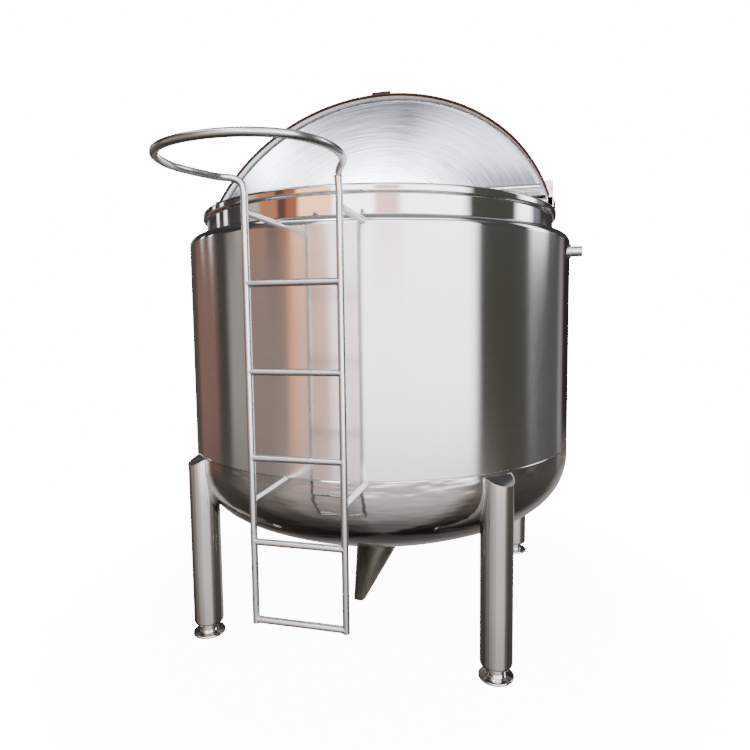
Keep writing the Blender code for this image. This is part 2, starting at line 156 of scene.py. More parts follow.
wall_panels = [
    (-180.0, -171.0, back_card),
    (-164.0, -126.0, (0.085, 0.08, 0.07)),
    (-118.0, -97.0, brown_card),
    (-91.0, -84.0, (0.09, 0.075, 0.07)),
    (-80.0, -71.0, (0.46, 0.43, 0.39)),
    (-65.0, -40.0, warm_card),
    (-36.0, -34.0, (1.6, 0.72, 0.42)),
    (-31.0, -16.0, (1.35, 0.80, 0.66)),
    (-13.0, 0.0, (2.8, 2.25, 2.2)),
    (5.0, 65.0, white_card),
    (70.5, 103.0, dark_card),
    (108.0, 111.0, (0.20, 0.22, 0.22)),
    (117.0, 139.0, (0.115, 0.12, 0.12)),
    (142.0, 146.0, (0.36, 0.32, 0.34)),
    (150.0, 174.0, (0.030, 0.025, 0.030)),
    (179.0, 180.0, back_card),
]
upper_panels = [
    (-180.0, -160.0, shade_card),
    (-155.0, -138.0, (0.7, 0.7, 0.72)),
    (-130.0, -113.0, shade_card),
    (-111.5, -110.0, (3.5, 3.5, 3.6)),
    (-108.5, -102.0, shade_card),
    (-100.5, -98.5, (3.5, 3.5, 3.6)),
    (-97.0, -86.0, (0.075, 0.07, 0.07)),
    (-79.0, -77.0, (0.16, 0.14, 0.14)),
    (-73.0, -67.0, (0.85, 0.75, 0.70)),
    (-64.0, -52.0, orange_card),
    (-50.0, -46.0, (0.20, 0.10, 0.08)),
    (-44.0, -37.0, (0.68, 0.21, 0.12)),
    (-36.0, -15.0, (3.6, 1.9, 1.05)),
    (-13.0, 9.0, (6.5, 6.3, 6.6)),
    (12.0, 24.0, (3.0, 1.6, 1.6)),
    (29.0, 64.0, (6.0, 6.0, 6.2)),
    (71.0, 105.0, (0.09, 0.10, 0.085)),
    (111.5, 121.0, (5.0, 5.3, 5.4)),
    (127.0, 133.0, (0.30, 0.31, 0.36)),
    (139.0, 180.0, shade_card),
]
high_panels = [
    (-180.0, -160.0, shade_card),
    (-150.0, -78.0, (0.05, 0.048, 0.046)),
    (-62.0, -46.0, (0.17, 0.14, 0.12)),
    (-38.0, -26.0, (0.34, 0.28, 0.26)),
    (-16.0, 66.0, (4.6, 4.6, 4.8)),
    (73.0, 109.0, (0.09, 0.09, 0.085)),
    (114.0, 123.0, (4.2, 4.4, 4.4)),
    (131.0, 180.0, shade_card),
]
lower_panels = [
    (-180.0, -154.0, (0.50, 0.47, 0.44)),
    (-132.0, -86.0, (0.115, 0.10, 0.09)),
    (-66.0, -52.0, (0.30, 0.27, 0.25)),
    (-38.0, -28.0, (0.62, 0.56, 0.52)),
    (-18.0, -6.0, (0.85, 0.77, 0.73)),
    (2.0, 52.0, (1.20, 1.12, 1.10)),
    (70.0, 76.0, (0.26, 0.225, 0.20)),
    (90.0, 140.0, (0.12, 0.11, 0.10)),
    (158.0, 180.0, (0.50, 0.47, 0.44)),
]
ceiling_panels = [
    (-180.0, -150.0, (0.50, 0.51, 0.55)),
    (-128.0, -72.0, (0.08, 0.08, 0.085)),
    (-46.0, 72.0, (0.50, 0.51, 0.56)),
    (92.0, 132.0, (0.10, 0.10, 0.105)),
    (152.0, 180.0, (0.50, 0.51, 0.55)),
]
box_panels = [
    (-180.0, -128.0, (0.0, 0.0, 0.0)),
    (-110.0, -43.5, (3.6, 3.6, 3.8)),
    (-41.5, -38.8, (13.0, 13.4, 13.8)),
    (-37.8, -33.5, (5.6, 5.7, 6.0)),
    (-31.0, -29.5, (10.0, 10.1, 10.6)),
    (-25.5, -17.0, (23.0, 23.3, 24.5)),
    (-13.0, -11.5, (9.0, 9.1, 9.6)),
    (-8.0, 6.0, (1.2, 1.2, 1.3)),
    (14.0, 66.0, (7.0, 7.0, 7.2)),
    (84.0, 180.0, (0.0, 0.0, 0.0)),
]
side_box_panels = [
    (-180.0, -21.0, (0.0, 0.0, 0.0)),
    (-14.0, 12.0, (3.2, 3.25, 3.5)),
    (26.0, 180.0, (0.0, 0.0, 0.0)),
]
top_light = (0.40, 0.40, 0.44)
backdrop_light = 19.0


def lit(tree, panels, strength, over=None):
    """Panels at the strength of a number socket, added to others if there are any."""
    step = tree.nodes.new("ShaderNodeVectorMath")
    step.operation = "MULTIPLY_ADD"
    tree.links.new(panels, step.inputs[0])
    tree.links.new(strength, step.inputs[1])
    if over is not None:
        tree.links.new(over, step.inputs[2])
    return step.outputs["Vector"]


world = bpy.data.worlds.new("pale_studio")
bpy.context.scene.world = world
world.use_nodes = True
sky = world.node_tree
sky.nodes.clear()
looking = sky.nodes.new("ShaderNodeTexCoord")
parts = sky.nodes.new("ShaderNodeSeparateXYZ")
sky.links.new(looking.outputs["Generated"], parts.inputs[0])
backwards = calculated(sky, "MULTIPLY", parts.outputs["Y"], -1.0)
around = calculated(sky, "ARCTAN2", parts.outputs["X"], backwards)
turn = calculated(sky, "MULTIPLY_ADD", around, 0.5 / math.pi, 0.5)
rise = parts.outputs["Z"]
room = panel_ring(sky, turn, wall_panels)
rows_above = (
    (0.13, 0.16, panel_ring(sky, turn, upper_panels)),
    (0.23, 0.28, panel_ramp(sky, turn, high_panels)),
    (0.50, 0.66, panel_ramp(sky, turn, ceiling_panels)),
    (0.85, 0.90, top_light),
)
for row_start, row_full, row in rows_above:
    room = blended(sky, between(sky, rise, row_start, row_full), room, row)
box_foot = between(sky, rise, 0.74, 0.775)
box_head = calculated(sky, "POWER", between(sky, rise, 0.885, 0.80), 3.0)
box_light = calculated(sky, "MULTIPLY", box_foot, box_head)
room = lit(sky, panel_ramp(sky, turn, box_panels), box_light, over=room)
side_foot = between(sky, rise, 0.828, 0.846)
side_head = between(sky, rise, 0.885, 0.862)
side_light = calculated(sky, "MULTIPLY", side_foot, side_head)
room = lit(sky, panel_ramp(sky, turn, side_box_panels), side_light, over=room)
floor_falloff = between(sky, rise, -0.98, -0.28, start=0.14)
lower_walls = lit(sky, panel_ring(sky, turn, lower_panels), floor_falloff)
below_walls = between(sky, rise, -0.18, -0.29)
room = blended(sky, below_walls, room, lower_walls)
studio = sky.nodes.new("ShaderNodeBackground")
sky.links.new(room, studio.inputs["Color"])
backdrop = sky.nodes.new("ShaderNodeBackground")
backdrop.inputs["Strength"].default_value = backdrop_light
seen = sky.nodes.new("ShaderNodeLightPath")
choice = sky.nodes.new("ShaderNodeMixShader")
sky.links.new(seen.outputs["Is Camera Ray"], choice.inputs[0])
sky.links.new(studio.outputs[0], choice.inputs[1])
sky.links.new(backdrop.outputs[0], choice.inputs[2])
whole_sky = sky.nodes.new("ShaderNodeOutputWorld")
sky.links.new(choice.outputs[0], whole_sky.inputs["Surface"])

floor_radius = 3.1
floor_drop = 0.0005
fade_start = 1.2
near_glow = 12.5
bpy.ops.object.select_all(action="DESELECT")
bpy.ops.mesh.primitive_circle_add(vertices=128, radius=floor_radius, fill_type="NGON")
floor = bpy.context.object
floor.name = "studio_floor"
floor.location.z = -floor_drop
floor_paint = bpy.data.materials.new("pale_floor")
floor_paint.use_nodes = True
paint = floor_paint.node_tree
matt = paint.nodes["Principled BSDF"]
matt.inputs["Roughness"].default_value = 0.9
matt.inputs["Specular IOR Level"].default_value = 0.1
place = paint.nodes.new("ShaderNodeTexCoord")
distance = paint.nodes.new("ShaderNodeVectorMath")
distance.operation = "LENGTH"
paint.links.new(place.outputs["Object"], distance.inputs[0])
fading = between(paint, distance.outputs["Value"], fade_start, floor_radius)
glow = calculated(paint, "MULTIPLY_ADD", fading, backdrop_light - near_glow, near_glow)
eyes = paint.nodes.new("ShaderNodeLightPath")
in_picture = eyes.outputs["Is Camera Ray"]
seen_glow = calculated(paint, "MULTIPLY", glow, in_picture)
pale = blended(paint, in_picture, (0.30, 0.26, 0.23), (0.9, 0.9, 0.9))
paint.links.new(pale, matt.inputs["Base Color"])
matt.inputs["Emission Color"].default_value = (1.0, 1.0, 1.0, 1.0)
paint.links.new(seen_glow, matt.inputs["Emission Strength"])
floor.data.materials.append(floor_paint)
floor.visible_glossy = False


# Jacket shell
# The outer cylinder is 3 mm stainless sheet, rolled, welded and then polished in rings, so it
# mirrors the room as upright bands. Its lower edge is butt-welded to the bottom head.
crease = math.radians(32.0)


def named(name):
    """Names what was just made, and its mesh."""
    piece = bpy.context.object
    piece.name = name
    piece.data.name = name
    return piece


def lathe(name, outline, steps=224):
    """Draws (radius, height) points by extruding one vertex, then spins the line round the axis."""
    bpy.ops.object.select_all(action="DESELECT")
    bpy.ops.mesh.primitive_plane_add(size=0.001)
    piece = named(name)
    bpy.ops.object.mode_set(mode="EDIT")
    bpy.ops.mesh.merge(type="CENTER")
    bpy.ops.transform.translate(value=(outline[0][0], 0.0, outline[0][1]))
    for before, after in zip(outline, outline[1:]):
        step = (after[0] - before[0], 0.0, after[1] - before[1])
        bpy.ops.mesh.extrude_vertices_move(TRANSFORM_OT_translate={"value": step})
    draft = bmesh.from_edit_mesh(piece.data)
    ends = [v for v in draft.verts if len(v.link_edges) == 1]
    if any(v.co.x > 0.0001 for v in ends):
        for vertex in draft.verts:
            vertex.select = vertex in ends
        draft.select_flush_mode()
        bmesh.update_edit_mesh(piece.data)
        bpy.ops.mesh.edge_face_add()
    bpy.ops.mesh.select_all(action="SELECT")
    bpy.ops.mesh.spin(steps=steps, angle=2.0 * math.pi, center=(0, 0, 0), axis=(0, 0, 1))
    bpy.ops.mesh.select_all(action="SELECT")
    bpy.ops.mesh.remove_doubles(threshold=0.00001)
    bpy.ops.mesh.normals_make_consistent(inside=False)
    bpy.ops.object.mode_set(mode="OBJECT")
    bpy.ops.object.shade_smooth_by_angle(angle=crease)
    return piece


def arc(centre, radius, start_deg, end_deg, steps):
    """Points on an arc in the radius-height plane, both ends included."""
    points = []
    for step in range(steps + 1):
        angle = math.radians(start_deg + (end_deg - start_deg) * step / steps)
        points.append((centre[0] + radius * math.cos(angle), centre[1] + radius * math.sin(angle)))
    return points


def round_axis(tree, where):
    """A place's turn round an upright axis, its distance from the axis and its height."""
    split = tree.nodes.new("ShaderNodeSeparateXYZ")
    tree.links.new(where, split.inputs[0])
    across = split.outputs["X"]
    back = calculated(tree, "MULTIPLY", split.outputs["Y"], -1.0)
    over = calculated(tree, "MULTIPLY", across, across)
    reach = calculated(tree, "SQRT", calculated(tree, "MULTIPLY_ADD", back, back, over))
    return calculated(tree, "ARCTAN2", across, back), reach, split.outputs["Z"]


def noise(tree, scale, detail, stretch=(1.0, 1.0, 1.0), ringwise=False, source=None):
    """Noise on the piece's own coordinates, or on its turn round the axis, radius and height."""
    if source is None:
        source = tree.nodes.new("ShaderNodeTexCoord").outputs["Object"]
    if ringwise:
        join = tree.nodes.new("ShaderNodeCombineXYZ")
        for place, value in enumerate(round_axis(tree, source)):
            tree.links.new(value, join.inputs[place])
        source = join.outputs[0]
    scaling = tree.nodes.new("ShaderNodeMapping")
    scaling.inputs["Scale"].default_value = stretch
    tree.links.new(source, scaling.inputs["Vector"])
    made = tree.nodes.new("ShaderNodeTexNoise")
    made.inputs["Scale"].default_value = scale
    made.inputs["Detail"].default_value = detail
    tree.links.new(scaling.outputs[0], made.inputs["Vector"])
    return made.outputs["Fac"]


def raised(tree, height, depth, over=None):
    """A bump of a real depth in metres, laid over another bump if there is one."""
    bump = tree.nodes.new("ShaderNodeBump")
    bump.inputs["Distance"].default_value = depth
    tree.links.new(height, bump.inputs["Height"])
    if over is not None:
        tree.links.new(over, bump.inputs["Normal"])
    return bump.outputs["Normal"]


def spread(tree, value, low, high):
    """A noise value mapped onto a working range."""
    return between(tree, value, 0.25, 0.75, low, high)


def finish(name, metallic=1.0, anisotropy=0.0, specular=0.5):
    """A new material, of bare steel unless it is told otherwise, with its tree and its shader."""
    made = bpy.data.materials.new(name)
    made.use_nodes = True
    shader = made.node_tree.nodes["Principled BSDF"]
    shader.inputs["Metallic"].default_value = metallic
    shader.inputs["Anisotropic"].default_value = anisotropy
    shader.inputs["Specular IOR Level"].default_value = specular
    return made, made.node_tree, shader


def surface(tree, shader, colour, roughness, relief):
    """Gives a finish its colour, its roughness and its relief."""
    for name, source in (("Base Color", colour), ("Roughness", roughness), ("Normal", relief)):
        tree.links.new(source, shader.inputs[name])


def upright_sheen(tree, shader):
    """Ring-wise polishing marks draw every reflection out up and down."""
    up = tree.nodes.new("ShaderNodeCombineXYZ")
    up.inputs["Z"].default_value = 1.0
    tree.links.new(up.outputs[0], shader.inputs["Tangent"])


def dress(piece, material, slot, body, *nodes):
    """Gives a piece its material and its body, and hides the nodes it stands for. The slot is not
    used.
    """
    piece.data.materials.clear()
    piece.data.materials.append(material)
    if nodes:
        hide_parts(*nodes)
    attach(piece, body)


steel_light = (0.735, 0.73, 0.72)
steel_dark = (0.66, 0.65, 0.64)

ring_polish, tree, shader = finish("ring_polished_steel", anisotropy=0.90)
upright_sheen(tree, shader)
marks = noise(tree, scale=14.0, detail=3.0, stretch=(0.25, 1.0, 22.0), ringwise=True)
clouds = noise(tree, scale=1.6, detail=3.0, stretch=(1.0, 1.0, 0.6))
dents = raised(tree, noise(tree, scale=1.5, detail=1.0, stretch=(1.0, 1.0, 0.35)), depth=0.0035)
rolled = noise(tree, scale=7.0, detail=2.0, stretch=(1.0, 1.0, 0.05))
waves = raised(tree, rolled, depth=0.0009, over=dents)
surface(tree, shader, blended(tree, marks, steel_dark, steel_light),
        spread(tree, clouds, 0.14, 0.19), raised(tree, marks, depth=0.00006, over=waves))

shell_low, shell_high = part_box("jacket_shell")
jacket_r = shell_high.x
jacket_sheet = 0.003
seam_z = shell_low.z
shoulder_z = shell_high.z
seam_sink = 0.0018
seam_slope = 0.0026
shell_rows = (1.10, 1.35, 1.60)
shell_line = [(jacket_r - seam_sink, seam_z), (jacket_r, seam_z + seam_slope)]
shell_line += [(jacket_r, height) for height in (*shell_rows, shoulder_z)]
shell_line += [(jacket_r - jacket_sheet, shoulder_z), (jacket_r - jacket_sheet, seam_z)]
shell = lathe("jacket_shell_sheet", shell_line)
dress(shell, ring_polish, "polished_steel", "tank", "jacket_shell")


# Shoulder and neck weld
# The jacket closes onto the inner vessel's neck with a rolled, mirror-polished shoulder. A fine
# ground weld runs round the corner where the two meet.
mirror, tree, shader = finish("mirror_polished_steel")
haze = noise(tree, scale=9.0, detail=4.0)
fine = noise(tree, scale=60.0, detail=3.0, stretch=(0.3, 1.0, 6.0), ringwise=True)
waves = raised(tree, noise(tree, scale=4.5, detail=2.0), depth=0.0007)
surface(tree, shader, blended(tree, haze, steel_dark, steel_light),
        spread(tree, haze, 0.045, 0.085), raised(tree, fine, depth=0.00002, over=waves))

weld, tree, shader = finish("weld_bead_steel")
pits = noise(tree, scale=240.0, detail=3.0)
tint = spread(tree, noise(tree, scale=22.0, detail=2.0), 0.0, 1.0)
surface(tree, shader, blended(tree, tint, (0.50, 0.46, 0.42), (0.74, 0.73, 0.72)),
        spread(tree, pits, 0.16, 0.34), raised(tree, pits, depth=0.0003))


def bent_tube(name, points, radius, closed=False, ripple=0.0, ripple_steps=3, sides=24):
    """A round tube along points. A ripple swells it at even steps, as a weld's ridges do."""
    bpy.ops.object.select_all(action="DESELECT")
    bpy.ops.curve.primitive_nurbs_path_add()
    line = bpy.context.object.data
    line.splines.clear()
    run = line.splines.new("POLY")
    run.points.add(len(points) - 1)
    for number, (point, spot) in enumerate(zip(run.points, points)):
        point.co = (*spot, 1.0)
        point.radius = 1.0 + ripple * math.sin(2.0 * math.pi * number / ripple_steps)
    run.use_cyclic_u = closed
    line.bevel_depth = radius
    line.bevel_resolution = (sides - 4) // 2
    line.use_fill_caps = not closed
    bpy.ops.object.convert(target="MESH")
    piece = named(name)
    bpy.ops.object.shade_smooth_by_angle(angle=math.radians(50.0))
    return piece


def ring_points(radius, height, count):
    """Evenly spaced points on a level circle round the tank's axis."""
    turns = [2.0 * math.pi * number / count for number in range(count)]
    return [(radius * math.cos(turn), radius * math.sin(turn), height) for turn in turns]


def ring_weld(name, slot, radius, height, bead_r, ripple, count=720):
    """A weld bead laid on a level circle round the tank."""
    route = ring_points(radius, height, count)
    bead = bent_tube(name, route, bead_r, closed=True, ripple=ripple, ripple_steps=2, sides=8)
    dress(bead, weld, slot, "tank")


shoulder_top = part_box("jacket_shoulder")[1].z
shoulder_r = shoulder_top - shoulder_z
wall_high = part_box("vessel_wall")[1]
vessel_r = wall_high.x
bend_centre = (jacket_r - shoulder_r, shoulder_top - shoulder_r)
shoulder_line = arc(bend_centre, shoulder_r, 0.0, 90.0, 14)
shoulder_line += [(vessel_r, shoulder_top), (vessel_r, shoulder_top - jacket_sheet)]
shoulder_line += arc(bend_centre, shoulder_r - jacket_sheet, 90.0, 0.0, 8)
shoulder = lathe("jacket_shoulder_bend", shoulder_line)
dress(shoulder, mirror, "polished_steel", "tank", "jacket_shoulder")

neck_weld_r = vessel_r + 0.001
neck_weld_z = shoulder_top + 0.0005
ring_weld("neck_weld", "polished_steel", neck_weld_r, neck_weld_z, bead_r=0.0022, ripple=0.10)


# Bottom head
# A pressed dished head, mirror-polished by hand, closes the jacket. Its hand-finished surface is
# not quite even, and the weld to the shell shows as a thin bright line with a dark edge.
hand_polish, tree, shader = finish("hand_polished_steel")
blotches = spread(tree, noise(tree, scale=3.2, detail=4.0, stretch=(1.0, 1.0, 1.6)), 0.0, 1.0)
scuffs = noise(tree, scale=26.0, detail=4.0, stretch=(0.35, 1.0, 2.4), ringwise=True)
hollows = noise(tree, scale=5.5, detail=2.0, stretch=(0.6, 1.0, 3.0), ringwise=True)
waves = raised(tree, hollows, depth=0.004)
surface(tree, shader, blended(tree, blotches, (0.50, 0.47, 0.45), (0.67, 0.65, 0.635)),
        spread(tree, scuffs, 0.045, 0.12), raised(tree, scuffs, depth=0.0002, over=waves))

head_knuckle = 0.280
head_crown = 1.746
head_flange = 0.060
bottom_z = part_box("bottom_head")[0].z
tangent_z = seam_z - head_flange
crown_centre_z = bottom_z + head_crown
knuckle_centre = (jacket_r - head_knuckle, tangent_z)
knuckle_end = math.degrees(math.atan2(crown_centre_z - tangent_z, knuckle_centre[0]))


def head_line(inset):
    """The head's outline below its straight flange, from the flange to the axis."""
    bend = arc(knuckle_centre, head_knuckle - inset, 0.0, -knuckle_end, 26)
    bowl = arc((0.0, crown_centre_z), head_crown - inset, -knuckle_end, -90.0, 22)
    return bend + bowl[1:-1] + [(0.0, crown_centre_z - head_crown + inset)]


flange_z = seam_z - 0.0005
head_outline = [(0.0, crown_centre_z - head_crown + jacket_sheet)]
head_outline += list(reversed(head_line(jacket_sheet)))[1:]
head_outline += [(jacket_r - jacket_sheet, flange_z), (jacket_r - seam_sink, flange_z)]
head_outline += [(jacket_r, flange_z - seam_slope)] + head_line(0.0)
head = lathe("bottom_head_dish", head_outline)
dress(head, hand_polish, "polished_steel", "tank", "bottom_head")

seam_weld_r = jacket_r - 0.0028
seam_weld_z = seam_z - 0.0003
ring_weld("jacket_seam_weld", "polished_steel", seam_weld_r, seam_weld_z, bead_r=0.0016,
          ripple=0.12)


# Inner vessel
# The vessel that holds the liquid is 4 mm stainless sheet. Its neck is mirror-polished outside,
# and inside it is ground satin, with a welded seam above its dished bottom.
inside_satin, tree, shader = finish("satin_vessel_inside", anisotropy=0.7)
upright_sheen(tree, shader)
marks = noise(tree, scale=20.0, detail=3.0, stretch=(0.2, 1.0, 18.0), ringwise=True)
clouds = noise(tree, scale=2.4, detail=3.0)
surface(tree, shader, blended(tree, marks, (0.58, 0.575, 0.565), (0.70, 0.695, 0.685)),
        spread(tree, clouds, 0.25, 0.36), raised(tree, marks, depth=0.00008))

vessel_sheet = 0.004
vessel_knuckle = 0.200
vessel_crown = 1.640
inner_r = vessel_r - vessel_sheet
vessel_tangent_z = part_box("vessel_wall")[0].z
rim_top_z = wall_high.z
wall_row = 1.4
wall_line = [(vessel_r, height) for height in (vessel_tangent_z, wall_row, shoulder_top, rim_top_z)]
wall_line += [(inner_r, height) for height in (rim_top_z, wall_row, vessel_tangent_z)]
wall = lathe("vessel_wall_sheet", wall_line)
dress(wall, mirror, "polished_steel", "tank", "vessel_wall")
wall.data.materials.append(inside_satin)
for face in wall.data.polygons:
    outward = face.normal.x * face.center.x + face.normal.y * face.center.y
    if outward < -0.5 * vessel_r:
        face.material_index = 1

low_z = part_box("vessel_bottom")[0].z
dish_centre = (vessel_r - vessel_knuckle, vessel_tangent_z)
bowl_centre = (0.0, low_z + vessel_crown)
dish_end = math.degrees(math.atan2(bowl_centre[1] - vessel_tangent_z, dish_centre[0]))
bottom_line = [(0.0, low_z)]
bottom_line += arc(bowl_centre, vessel_crown, -90.0, -dish_end, 16)[1:]
bottom_line += arc(dish_centre, vessel_knuckle, -dish_end, 0.0, 12)[1:]
bottom_line += arc(dish_centre, vessel_knuckle - vessel_sheet, 0.0, -dish_end, 12)
bottom_line += arc(bowl_centre, vessel_crown - vessel_sheet, -dish_end, -90.0, 16)[1:-1]
bottom_line += [(0.0, low_z + vessel_sheet)]
vessel_bottom = lathe("vessel_bottom_dish", bottom_line)
dress(vessel_bottom, inside_satin, "satin_steel", "tank", "vessel_bottom")

inside_weld_r = inner_r + 0.0006
ring_weld("vessel_seam_weld", "satin_steel", inside_weld_r, vessel_tangent_z, bead_r=0.002,
          ripple=0.12, count=480)


# Rim ring
# A half-round stainless bar is rolled to a ring and welded round the top of the neck. It is
# polished together with the neck, and a fine ground weld fills the groove below it.
ring_low, ring_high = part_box("rim_ring")
ring_round = 0.011
ring_hold = 0.001
ring_out = ring_high.x
round_low = (ring_out - ring_round, ring_low.z + ring_round)
round_high = (ring_out - ring_round, ring_high.z - ring_round)
ring_line = arc(round_low, ring_round, -90.0, 0.0, 9)
ring_line += [(ring_out, round_low[1] + ring_hold), (ring_out, round_high[1] - ring_hold)]
ring_line += arc(round_high, ring_round, 0.0, 90.0, 9)
ring_line += [(vessel_r, ring_high.z), (vessel_r, ring_low.z)]
dress(lathe("rim_ring_bar", ring_line), mirror, "polished_steel", "tank", "rim_ring")

groove_weld_r = vessel_r + 0.0008
groove_weld_z = ring_low.z - 0.0003
ring_weld("rim_groove_weld", "polished_steel", groove_weld_r, groove_weld_z, bead_r=0.0016,
          ripple=0.10)


# Front lid
# A half-moon tray pressed from 3 mm sheet, brushed in rings round its own centre. It hangs on two
# hinges at its straight edge and stands open, leaning back past upright on the stop plates.
hinge = frame["joints"][0]
hinge_y = hinge["pos_m"][1]
hinge_z = hinge["pos_m"][2]
open_angle = math.radians(hinge["range_deg"][1])
swing = Matrix.Translation((0.0, hinge_y, hinge_z)) @ Matrix.Rotation(-open_angle, 4, "X")
opened = swing @ Matrix.Translation((0.0, -hinge_y, 0.0))


def only(*pieces):
    """Selects these pieces and no others, the first one to work on."""
    bpy.ops.object.select_all(action="DESELECT")
    for piece in pieces:
        piece.select_set(True)
    bpy.context.view_layer.objects.active = pieces[0]


def cut_straight(piece, through, away):
    """Bisects a piece with a plane, drops the side that the arrow points to and closes the cut."""
    only(piece)
    bpy.ops.object.mode_set(mode="EDIT")
    bpy.ops.mesh.select_all(action="SELECT")
    bpy.ops.mesh.bisect(plane_co=through, plane_no=away, use_fill=True, clear_outer=True)
    bpy.ops.mesh.select_all(action="SELECT")
    bpy.ops.mesh.normals_make_consistent(inside=False)
    bpy.ops.object.mode_set(mode="OBJECT")
    bpy.ops.object.shade_smooth_by_angle(angle=crease)


def placed(piece, matrix):
    """Turns and moves a piece, then settles that into its mesh."""
    only(piece)
    piece.matrix_world = matrix
    bpy.ops.object.transform_apply(location=True, rotation=True, scale=True)


tray_sheet = 0.003
tray_inner_bend = 0.002
tray_hold = 0.002
tray_rows = (0.3, 0.6, 0.8)


def tray_line(radius, top, bend, end_z):
    """A pressed tray in section, from the middle of its top down to its edge and back inside."""
    corner = (radius - bend, top - bend)
    under = top - tray_sheet
    inner_corner = (radius - tray_sheet - tray_inner_bend, under - tray_inner_bend)
    line = [(0.0, top), *((row * radius, top) for row in tray_rows), (corner[0] - tray_hold, top)]
    line += arc(corner, bend, 90.0, 0.0, 8)
    line += [(radius, end_z), (radius - tray_sheet, end_z)]
    line += arc(inner_corner, tray_inner_bend, 0.0, 90.0, 5)
    line += [(inner_corner[0] - tray_hold, under)]
    return line + [(row * radius, under) for row in reversed(tray_rows)] + [(0.0, under)]


tray_r = 0.8835
tray_top = 0.012
tray_bend = 0.012
skirt_end = -0.0149
lid_rear = -0.015
lid_cut = (0.0, hinge_y + lid_rear, 0.0)

brushed, tree, shader = finish("ring_brushed_sheet", anisotropy=0.80)
where = tree.nodes.new("ShaderNodeTexCoord")
lid_frame = opened.inverted()
laid_flat = tree.nodes.new("ShaderNodeMapping")
laid_flat.inputs["Location"].default_value = lid_frame.to_translation()
laid_flat.inputs["Rotation"].default_value = lid_frame.to_euler()
tree.links.new(where.outputs["Object"], laid_flat.inputs["Vector"])
on_lid = laid_flat.outputs[0]
strokes = noise(tree, 1.0, detail=5.0, stretch=(2.4, 75.0, 0.0), ringwise=True, source=on_lid)
scratches = noise(tree, 1.0, detail=3.0, stretch=(6.0, 240.0, 0.0), ringwise=True, source=on_lid)
stroke_share = calculated(tree, "MULTIPLY", strokes, 0.55)
streaks = spread(tree, calculated(tree, "MULTIPLY_ADD", scratches, 0.45, stroke_share), 0.0, 1.0)
polish = spread(tree, strokes, 0.045, 0.075)
edge_haze = between(tree, round_axis(tree, on_lid)[1], 0.848, 0.868)
waves = raised(tree, strokes, depth=0.00012)
surface(tree, shader, blended(tree, streaks, (0.30, 0.31, 0.345), (0.86, 0.88, 0.92)),
        calculated(tree, "MULTIPLY_ADD", edge_haze, 0.22, polish),
        raised(tree, scratches, depth=0.00001, over=waves))
radial = tree.nodes.new("ShaderNodeVectorMath")
radial.operation = "SUBTRACT"
tree.links.new(where.outputs["Object"], radial.inputs[0])
radial.inputs[1].default_value = opened.to_translation()
into_world = tree.nodes.new("ShaderNodeVectorTransform")
into_world.vector_type = "VECTOR"
into_world.convert_from = "OBJECT"
into_world.convert_to = "WORLD"
tree.links.new(radial.outputs[0], into_world.inputs[0])
tree.links.new(into_world.outputs[0], shader.inputs["Tangent"])

# Painted highlight: the skirt's steel is coloured near white, brighter than the lid's face, so the
# bent edge shows as a bright line.
skirt_highlight_satin, tree, shader = finish("lid_skirt_highlight_satin")
grain = noise(tree, scale=160.0, detail=3.0)
surface(tree, shader, blended(tree, grain, (0.93, 0.935, 0.945), (0.985, 0.985, 0.99)),
        spread(tree, grain, 0.46, 0.56), raised(tree, grain, depth=0.00003))

flat_enough = 0.995
lid = lathe("front_lid_tray", tray_line(tray_r, tray_top, tray_bend, skirt_end))
cut_straight(lid, lid_cut, (0.0, 1.0, 0.0))
skirt_faces = [face.index for face in lid.data.polygons if abs(face.normal.z) < flat_enough]
placed(lid, opened)
dress(lid, brushed, "brushed_sheet", "lid", "front_lid")
lid.data.materials.append(skirt_highlight_satin)
for index in skirt_faces:
    lid.data.polygons[index].material_index = 1


# Lid seal
# A dark brown rubber trim is pushed onto the lid's edge all round its curve. It covers the edge
# of the skirt, and a short leg holds it on the inside.
rubber, tree, shader = finish("dark_brown_rubber", metallic=0.0, specular=0.12)
mottle = noise(tree, scale=70.0, detail=4.0)
surface(tree, shader, blended(tree, mottle, (0.030, 0.016, 0.010), (0.075, 0.046, 0.030)),
        spread(tree, mottle, 0.55, 0.75), raised(tree, mottle, depth=0.0003))

seal_r = 0.885
seal_in = 0.877
seal_top = skirt_end - 0.0003
seal_end = -0.020
seal_leg_top = skirt_end + 0.009
seal_lip = 0.001
inside_skirt = tray_r - tray_sheet - 0.0002
seal_line = arc((seal_r - seal_lip, seal_end + seal_lip), seal_lip, -90.0, 0.0, 4)
seal_line += [(seal_r, seal_top), (inside_skirt, seal_top), (inside_skirt, seal_leg_top)]
seal_line += arc((seal_in + seal_lip, seal_leg_top - seal_lip), seal_lip, 90.0, 180.0, 4)
seal_line += arc((seal_in + seal_lip, seal_end + seal_lip), seal_lip, 180.0, 270.0, 4)
seal = lathe("lid_edge_seal", seal_line)
cut_straight(seal, lid_cut, (0.0, 1.0, 0.0))
placed(seal, opened)
dress(seal, rubber, "dark_rubber", "lid", "lid_seal")


# Lid rail, stiffener, handle and knuckles
# A flat rail closes the lid's straight edge, a flat bar stiffens it beside the rail, a black
# moulded handle sits in the middle of its curve, and two knuckles carry it on the hinge pins.
def flat_bar(name, low, high, edge, edge_steps=3):
    """A bar between two corners with rounded edges."""
    bpy.ops.object.select_all(action="DESELECT")
    middle = [(low[axis] + high[axis]) / 2.0 for axis in range(3)]
    size = [high[axis] - low[axis] for axis in range(3)]
    bpy.ops.mesh.primitive_cube_add(size=1.0)
    piece = named(name)
    bpy.ops.object.mode_set(mode="EDIT")
    bpy.ops.transform.resize(value=size)
    bpy.ops.transform.translate(value=middle)
    bpy.ops.mesh.bevel(offset=edge, segments=edge_steps)
    bpy.ops.object.mode_set(mode="OBJECT")
    bpy.ops.object.shade_smooth_by_angle(angle=crease)
    return piece


def half_width(radius, back):
    """Half the width of a disc at a distance from its middle."""
    return math.sqrt(radius * radius - back * back)


